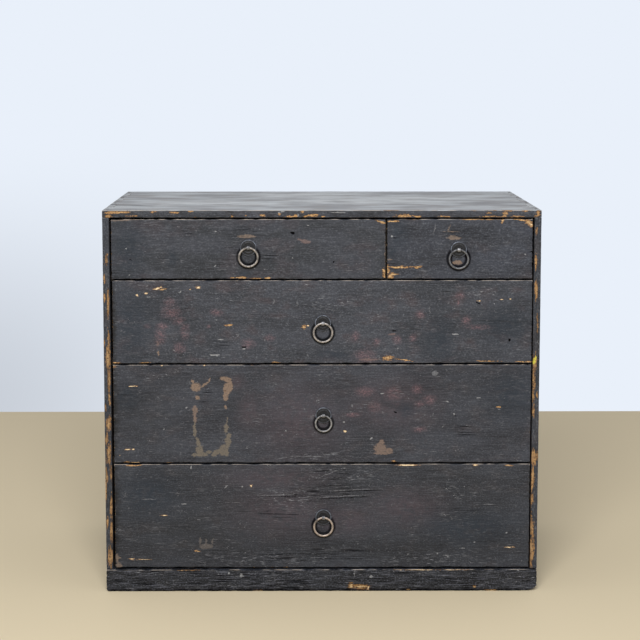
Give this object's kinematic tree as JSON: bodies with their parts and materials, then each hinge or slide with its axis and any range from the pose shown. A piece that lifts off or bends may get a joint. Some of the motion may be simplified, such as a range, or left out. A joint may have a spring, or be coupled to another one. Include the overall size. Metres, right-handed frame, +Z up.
{
  "type": "tansu chest of drawers",
  "caption": "Low black-painted softwood tansu chest on a plinth, with lapped drawer fronts over hidden shelves, iron ring pulls and drawers that slide out.",
  "frame": {"origin": "on the floor, under the middle of the case", "axes": "+X to the viewer's right along the drawer fronts, +Y to the back, +Z up; the drawers face -Y"},
  "size_m": [0.75, 0.4376, 0.666],
  "materials": {
    "painted_front": "worn matt black-blue paint over raised grain",
    "painted_case": "worn matt black-blue paint over raised grain",
    "painted_top": "dusty, rubbed black-blue paint",
    "painted_base": "worn matt black paint",
    "case_wood": "bare softwood darkened by age",
    "drawer_wood": "bare softwood",
    "peg_wood": "end grain of wooden pegs",
    "plate_iron": "dark forged iron",
    "ring_iron": "iron rubbed grey-brown by hands",
    "nail_iron": "rusty iron"
  },
  "bodies": {
    "case": {"left_side": "painted_case", "right_side": "painted_case", "top_board": "painted_top", "bottom_board": "case_wood", "back_board_lower": "case_wood", "back_board_upper": "case_wood", "shelf_upper": "case_wood", "shelf_middle": "case_wood", "shelf_lower": "case_wood", "drawer_divider": "case_wood", "base_front_rail": "painted_base", "base_back_rail": "painted_base", "base_left_rail": "painted_base", "base_right_rail": "painted_base", "case_nails": "nail_iron"},
    "wide_drawer": {"wide_drawer_front": "painted_front", "wide_drawer_left_side": "drawer_wood", "wide_drawer_right_side": "drawer_wood", "wide_drawer_back": "drawer_wood", "wide_drawer_bottom": "drawer_wood", "wide_drawer_pegs": "peg_wood", "wide_drawer_pull_plate": "plate_iron", "wide_drawer_pull_pin": "plate_iron"},
    "wide_ring": {"wide_drawer_pull_ring": "ring_iron"},
    "small_drawer": {"small_drawer_front": "painted_front", "small_drawer_left_side": "drawer_wood", "small_drawer_right_side": "drawer_wood", "small_drawer_back": "drawer_wood", "small_drawer_bottom": "drawer_wood", "small_drawer_pegs": "peg_wood", "small_drawer_pull_plate": "plate_iron", "small_drawer_pull_pin": "plate_iron"},
    "small_ring": {"small_drawer_pull_ring": "ring_iron"},
    "second_drawer": {"second_drawer_front": "painted_front", "second_drawer_left_side": "drawer_wood", "second_drawer_right_side": "drawer_wood", "second_drawer_back": "drawer_wood", "second_drawer_bottom": "drawer_wood", "second_drawer_pegs": "peg_wood", "second_drawer_pull_plate": "plate_iron", "second_drawer_pull_pin": "plate_iron"},
    "second_ring": {"second_drawer_pull_ring": "ring_iron"},
    "third_drawer": {"third_drawer_front": "painted_front", "third_drawer_left_side": "drawer_wood", "third_drawer_right_side": "drawer_wood", "third_drawer_back": "drawer_wood", "third_drawer_bottom": "drawer_wood", "third_drawer_pegs": "peg_wood", "third_drawer_pull_plate": "plate_iron", "third_drawer_pull_pin": "plate_iron"},
    "third_ring": {"third_drawer_pull_ring": "ring_iron"},
    "bottom_drawer": {"bottom_drawer_front": "painted_front", "bottom_drawer_left_side": "drawer_wood", "bottom_drawer_right_side": "drawer_wood", "bottom_drawer_back": "drawer_wood", "bottom_drawer_bottom": "drawer_wood", "bottom_drawer_pegs": "peg_wood", "bottom_drawer_pull_plate": "plate_iron", "bottom_drawer_pull_pin": "plate_iron"},
    "bottom_ring": {"bottom_drawer_pull_ring": "ring_iron"}
  },
  "joints": [
    {"name": "wide_drawer_slide", "type": "slide", "parent": "case", "child": "wide_drawer", "axis": [0, -1, 0], "range_m": [0, 0.32]},
    {"name": "wide_ring_swing", "type": "hinge", "parent": "wide_drawer", "child": "wide_ring", "pos_m": [-0.1256, -0.2189, 0.6018], "axis": [-1, 0, 0], "range_deg": [-4, 184]},
    {"name": "small_drawer_slide", "type": "slide", "parent": "case", "child": "small_drawer", "axis": [0, -1, 0], "range_m": [0, 0.32]},
    {"name": "small_ring_swing", "type": "hinge", "parent": "small_drawer", "child": "small_ring", "pos_m": [0.2336, -0.2189, 0.5983], "axis": [-1, 0, 0], "range_deg": [-4, 184]},
    {"name": "second_drawer_slide", "type": "slide", "parent": "case", "child": "second_drawer", "axis": [0, -1, 0], "range_m": [0, 0.32]},
    {"name": "second_ring_swing", "type": "hinge", "parent": "second_drawer", "child": "second_ring", "pos_m": [0.0018, -0.2189, 0.4716], "axis": [-1, 0, 0], "range_deg": [-4, 184]},
    {"name": "third_drawer_slide", "type": "slide", "parent": "case", "child": "third_drawer", "axis": [0, -1, 0], "range_m": [0, 0.32]},
    {"name": "third_ring_swing", "type": "hinge", "parent": "third_drawer", "child": "third_ring", "pos_m": [0.0028, -0.2187, 0.3109], "axis": [-1, 0, 0], "range_deg": [-4, 184]},
    {"name": "bottom_drawer_slide", "type": "slide", "parent": "case", "child": "bottom_drawer", "axis": [0, -1, 0], "range_m": [0, 0.32]},
    {"name": "bottom_ring_swing", "type": "hinge", "parent": "bottom_drawer", "child": "bottom_ring", "pos_m": [0.0028, -0.2189, 0.1312], "axis": [-1, 0, 0], "range_deg": [-4, 184]}
  ]
}
